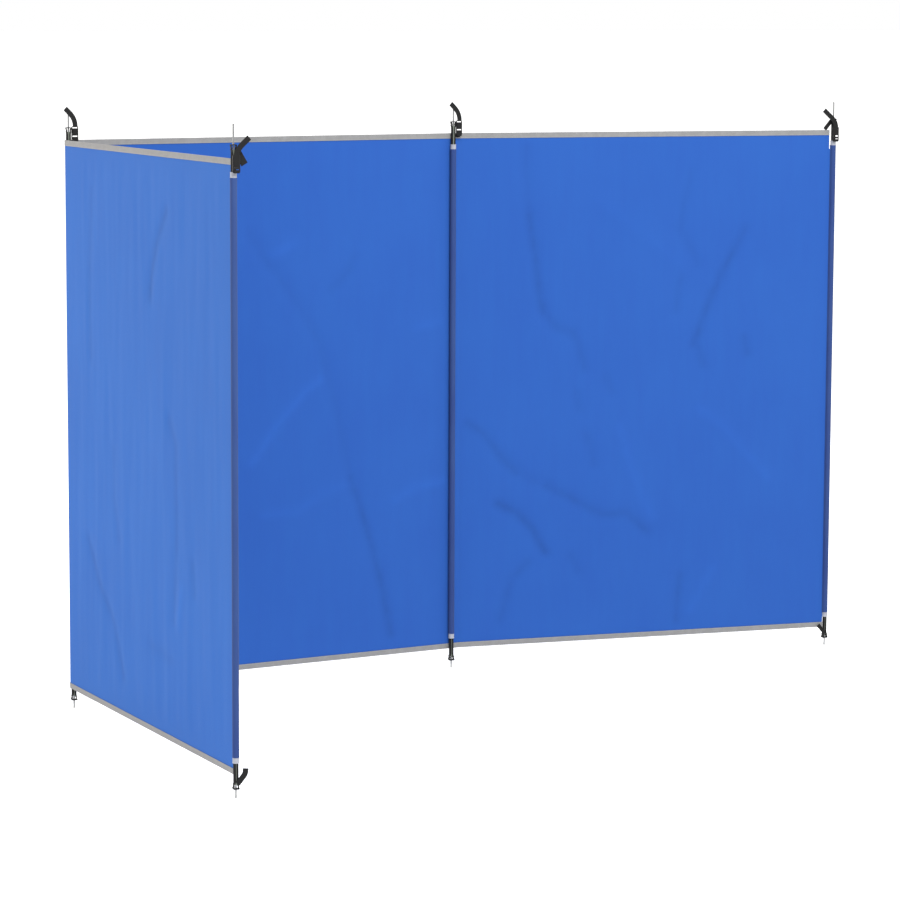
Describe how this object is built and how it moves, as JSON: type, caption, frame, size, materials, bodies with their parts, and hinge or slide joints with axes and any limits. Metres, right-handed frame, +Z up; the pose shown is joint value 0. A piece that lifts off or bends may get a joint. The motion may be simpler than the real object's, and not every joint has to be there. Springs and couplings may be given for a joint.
{
  "type": "beach windbreak",
  "caption": "Folding beach windbreak: bays of blue cloth with taped edges, held by push-in poles in sleeves, with webbing loops and buckles at the pole ends.",
  "frame": {"origin": "flat tip of the middle pole's ground pin", "axes": "+Z up along the poles, +X along the centre bay from the corner pole to the middle pole, -Y towards the sheltered side"},
  "size_m": [2.5283, 1.239, 1.663],
  "materials": {
    "cloth": "woven polyester, matt",
    "tape": "light grey binding tape",
    "sleeve": "dark blue woven sleeve",
    "band": "pale grey woven band",
    "webbing": "black ribbed webbing",
    "buckle": "moulded, fine grain",
    "pole": "satin grey-green coated steel",
    "pin": "plain drawn steel"
  },
  "bodies": {
    "centre_bay": {"cloth_centre": "cloth", "top_tape_centre": "tape", "bottom_tape_centre": "tape", "pole_corner": "pole", "pole_middle": "pole", "top_pin_corner": "pin", "top_pin_middle": "pin", "ground_pin_corner": "pin", "ground_pin_middle": "pin", "sleeve_corner": "sleeve", "sleeve_middle": "sleeve", "sleeve_bands_corner": "band", "sleeve_bands_middle": "band", "top_loop_corner": "webbing", "top_loop_middle": "webbing", "foot_loop_corner": "webbing", "foot_loop_middle": "webbing", "buckle_corner": "buckle", "buckle_middle": "buckle", "tension_strap_corner": "webbing", "tension_strap_middle": "webbing"},
    "left_bay": {"cloth_left": "cloth", "top_tape_left": "tape", "bottom_tape_left": "tape", "pole_left": "pole", "top_pin_left": "pin", "ground_pin_left": "pin", "sleeve_left": "sleeve", "sleeve_bands_left": "band", "top_loop_left": "webbing", "foot_loop_left": "webbing", "buckle_left": "buckle", "tension_strap_left": "webbing"},
    "right_bay": {"cloth_right": "cloth", "top_tape_right": "tape", "bottom_tape_right": "tape", "pole_right": "pole", "top_pin_right": "pin", "ground_pin_right": "pin", "sleeve_right": "sleeve", "sleeve_bands_right": "band", "top_loop_right": "webbing", "foot_loop_right": "webbing", "buckle_right": "buckle", "tension_strap_right": "webbing"}
  },
  "joints": [
    {"name": "left_bay_fold", "type": "hinge", "parent": "centre_bay", "child": "left_bay", "pos_m": [-1.215, 0, 0.8], "axis": [0, 0, 1], "range_deg": [-85.5, 90.5]},
    {"name": "right_bay_fold", "type": "hinge", "parent": "centre_bay", "child": "right_bay", "pos_m": [0.03, 0.01205, 0.8], "axis": [0, 0, 1], "range_deg": [-33, 188]}
  ]
}
